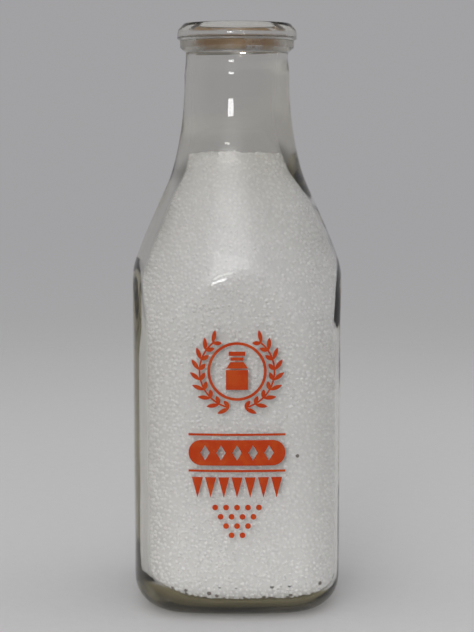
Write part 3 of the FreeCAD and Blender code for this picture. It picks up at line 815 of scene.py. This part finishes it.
def foam_material(beads):
    """Matte white foam: a bed darkened with painted shade in the crevices, under beads that differ a little;
    a few are dark with dirt, and more near the inside floor as painted shade of the gaps there.
    """
    material, tree = new_material("foam_beads")
    where, place = object_place(tree)
    shade = tree.add("ShaderNodeAttribute", {"attribute_name": "shade"}, output="Fac")
    cells = tree.add("ShaderNodeTexVoronoi", sockets={"Vector": where, "Scale": 3200.0})
    # the bed shows only between the beads and is darkened there as painted shade in the crevices
    clean_and_crevice_shade = tree.mix(shade, solid([BED_CREVICE_SHADE * c for c in beads.colour]), solid(beads.colour))
    # dark beads: a few dirty ones all over, and more near the inside floor as painted shade of the gaps at
    # the fill's bottom edge
    soiled_and_gap_shade = shade > SOILED_FROM - GAP_SHADE_MORE * place.of("Z").ramp(*GAP_SHADE_HEIGHT)
    surface = tree.add("ShaderNodeBsdfPrincipled", sockets={
        "Base Color": tree.mix(soiled_and_gap_shade, clean_and_crevice_shade, solid(beads.grit_and_gap_shade)),
        "Roughness": 0.55 + 0.15 * shade,
        "IOR": 1.3,
        "Normal": bump(tree, cells, strength=0.25, distance=0.0001),
    })
    tree.add("ShaderNodeOutputMaterial", sockets={"Surface": surface})
    return material


def enamel_material(enamel):
    """Fired orange enamel, satin, with thin places and pinholes."""
    material, tree = new_material("orange_enamel")
    where, _ = object_place(tree)
    cloud = tree.noise(where, scale=220.0, detail=3.0)
    speck = tree.noise(where, scale=1800.0, detail=2.0)
    thin = cloud.ramp(*THIN_CLOUD) * THIN_MOST
    pinhole = speck.ramp(*PINHOLE_SPECK) * cloud.ramp(*PINHOLE_CLOUD) * enamel.wear
    fired = tree.mix(thin, solid(enamel.colour), solid(enamel.thin_colour))
    surface = tree.add("ShaderNodeBsdfPrincipled", sockets={
        "Base Color": tree.mix(pinhole, fired, PINHOLE_COLOUR),
        "Roughness": 0.34 + 0.2 * cloud,
        "Specular IOR Level": 0.2,
        "Normal": bump(tree, speck + cloud, strength=0.15, distance=0.0001),
    })
    tree.add("ShaderNodeOutputMaterial", sockets={"Surface": surface})
    return material


def paint_print(settings):
    material = enamel_material(settings.enamel)
    for name in PRINT_NODES:
        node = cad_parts[name]
        for slot in node.material_slots:
            slot.material = material


# the stage

def floor_material(stage):
    """Pale paper that fades into the background, with a painted shadow under the base where the glass shows
    it.
    """
    material, tree = new_material("pale_floor")
    where, place = object_place(tree)
    across, along = place * place, place.of("Y") * place.of("Y")
    away = (across + along).root()
    footprint = (across * across + along * along).root().root()
    through = tree.add("ShaderNodeLightPath", output="Is Transmission Ray")
    grain = tree.noise(where, scale=160.0, detail=3.0)
    paper = tree.mix(grain, solid([PAPER_GRAIN * c for c in stage.floor_colour]), solid(stage.floor_colour))
    # painted shadow: the paper under the base turns dark where rays come through the glass
    paper = tree.mix(footprint.ramp(*CONTACT_SHADOW_EDGE) * through, paper, solid(stage.contact_shadow))
    near = tree.add("ShaderNodeBsdfPrincipled", sockets={
        "Base Color": paper,
        "Roughness": 0.85,
        "Specular IOR Level": 0.1,
        "Normal": bump(tree, grain, strength=0.2, distance=0.001),
    })
    far = tree.add("ShaderNodeBsdfTransparent")
    surface = tree.add("ShaderNodeMixShader", sockets={0: away.ramp(*FLOOR_FADE), 1: near, 2: far})
    tree.add("ShaderNodeOutputMaterial", sockets={"Surface": surface})
    return material


def make_floor(stage):
    mesh = bpy.data.meshes.new("floor")
    shape = bmesh.new()
    bmesh.ops.create_circle(shape, cap_ends=True, segments=96, radius=FLOOR_RADIUS)
    bmesh.ops.translate(shape, verts=shape.verts, vec=(0.0, 0.0, -FLOOR_DROP))
    shape.to_mesh(mesh)
    shape.free()
    mesh.materials.append(floor_material(stage))
    link("floor", mesh)


def make_world(stage):
    """Soft light from all round, and a pale graded background where it is seen or shines through glass."""
    world = bpy.data.worlds.new("studio")
    world.use_nodes = True
    world.node_tree.nodes.clear()
    tree = Tree(world.node_tree)
    direction = tree.add("ShaderNodeTexCoord", output="Generated")
    aim = tree.add("ShaderNodeSeparateXYZ", sockets={0: direction})
    rise = aim.of("Z")
    backdrop = tree.mix(rise.ramp(*BACKDROP_RISE), solid(stage.low_backdrop), solid(stage.high_backdrop))
    backdrop = tree.mix(aim.of("Y").ramp(*ROOM_EDGE), backdrop, solid(stage.room))
    backdrop = tree.mix(rise.ramp(*CEILING_EDGE), backdrop, solid(stage.ceiling))
    sockets = {0: direction, 1: GLOW_TOWARDS}
    towards = tree.add("ShaderNodeVectorMath", {"operation": "DOT_PRODUCT"}, sockets, output="Value")
    backdrop = tree.mix(towards.ramp(*GLOW_EDGE), backdrop, solid(stage.glow))
    rays = tree.add("ShaderNodeLightPath", output="Is Camera Ray")
    seen = rays.most(rays.of("Is Glossy Ray")).most(rays.of("Is Transmission Ray"))
    shown = tree.add("ShaderNodeBackground", sockets={"Color": backdrop, "Strength": 1.0})
    strength = aim.of("Y").ramp(*LIGHT_EDGE, stage.front_light, stage.back_light)
    light = tree.add("ShaderNodeBackground", sockets={"Color": WHITE, "Strength": strength})
    surface = tree.add("ShaderNodeMixShader", sockets={0: seen, 1: light, 2: shown})
    tree.add("ShaderNodeOutputWorld", sockets={"Surface": surface})
    bpy.context.scene.world = world


Lamp = namedtuple("Lamp", "place aim size mirrored through spread", defaults=(False, False, math.pi))
LAMPS = {
    "key": Lamp((-0.31, -1.345, 0.44), NECK, (0.27, 0.12), mirrored=True, through=True),
    "window": Lamp((-0.32, -1.18, 0.92), NECK, (0.95, 0.62), through=True),
    "top": Lamp((-0.15, -0.35, 1.35), (0.0, 0.0, 0.1), (0.9, 0.9)),
    "right": Lamp((0.9, 0.05, 0.2), NECK, (0.7, 0.3)),
    "left": Lamp((-0.9, 0.05, 0.2), NECK, (0.7, 0.3)),
    "low": Lamp((0.0, -0.12, 0.013), (0.0, 0.0, 0.02), (0.22, 0.02), spread=math.radians(70.0)),
}


def add_lamp(name, lamp, energy):
    """A rectangle of light that the camera never sees, and mirrors and glass only where it says so."""
    light = bpy.data.lights.new(name, "AREA")
    light.shape = "RECTANGLE"
    light.size, light.size_y = lamp.size
    light.energy = energy
    light.spread = lamp.spread
    obj = link(name, light)
    obj.location = lamp.place
    obj.rotation_euler = (Vector(lamp.aim) - Vector(lamp.place)).to_track_quat("-Z", "Y").to_euler()
    obj.visible_camera = False
    obj.visible_glossy = lamp.mirrored
    obj.visible_transmission = lamp.through


def make_camera(stage):
    camera = bpy.data.cameras.new("camera")
    camera.lens = stage.lens
    camera.sensor_width = 36.0
    camera.clip_start = 0.01
    obj = link("camera", camera)
    obj.location = (0.0, -stage.camera_distance, stage.camera_height)
    obj.rotation_euler = (QUARTER - stage.camera_pitch, 0.0, 0.0)
    bpy.context.scene.camera = obj


def set_light_paths(most):
    """Let light bounce often enough to find its way out of thick glass."""
    cycles = bpy.context.scene.cycles
    cycles.max_bounces = most
    cycles.glossy_bounces = most
    cycles.transmission_bounces = most


def make_stage(settings):
    stage = settings.stage
    make_floor(stage)
    make_world(stage)
    for name, lamp in LAMPS.items():
        add_lamp(f"{name}_lamp", lamp, getattr(stage, f"{name}_power"))
    make_camera(stage)
    set_light_paths(BOUNCES)
    bpy.context.scene.view_settings.view_transform = "Standard"


# operators and panel

class BOTTLE_OT_glass(bpy.types.Operator):
    """Make the glass wall of the bottle"""

    bl_idname = "bottle.glass"
    bl_label = "Glass wall"

    def execute(self, context):
        make_glass(context.scene.bottle)
        return {"FINISHED"}


class BOTTLE_OT_beads(bpy.types.Operator):
    """Fill the bottle with foam beads"""

    bl_idname = "bottle.beads"
    bl_label = "Bead fill"

    def execute(self, context):
        make_beads(context.scene.bottle)
        return {"FINISHED"}


class BOTTLE_OT_enamel(bpy.types.Operator):
    """Fire the enamel print"""

    bl_idname = "bottle.enamel"
    bl_label = "Enamel print"

    def execute(self, context):
        paint_print(context.scene.bottle)
        return {"FINISHED"}


class BOTTLE_OT_stage(bpy.types.Operator):
    """Set up floor, light and camera"""

    bl_idname = "bottle.stage"
    bl_label = "Stage"

    def execute(self, context):
        make_stage(context.scene.bottle)
        return {"FINISHED"}


OPERATORS = (BOTTLE_OT_glass, BOTTLE_OT_beads, BOTTLE_OT_enamel, BOTTLE_OT_stage)


class BOTTLE_PT_sidebar(bpy.types.Panel):
    """Lists the bottle's settings and the steps that make it"""

    bl_idname = "BOTTLE_PT_sidebar"
    bl_label = "Milk bottle"
    bl_space_type = "VIEW_3D"
    bl_region_type = "UI"
    bl_category = "Bottle"

    def draw(self, context):
        settings = context.scene.bottle
        for group in (settings.glass, settings.beads, settings.enamel, settings.stage):
            column = self.layout.column(align=True)
            for name in group.__annotations__:
                column.prop(group, name)
        for operator in OPERATORS:
            self.layout.operator(operator.bl_idname)


CLASSES = (
    GlassSettings,
    BeadSettings,
    EnamelSettings,
    StageSettings,
    BottleSettings,
    *OPERATORS,
    BOTTLE_PT_sidebar,
)


def register():
    for item in CLASSES:
        bpy.utils.register_class(item)
    bpy.types.Scene.bottle = PointerProperty(type=BottleSettings)


def unregister():
    del bpy.types.Scene.bottle
    for item in reversed(CLASSES):
        bpy.utils.unregister_class(item)


def main():
    register()
    bpy.ops.bottle.glass()
    bpy.ops.bottle.beads()
    bpy.ops.bottle.enamel()
    bpy.ops.bottle.stage()


if __name__ == "__main__":
    main()
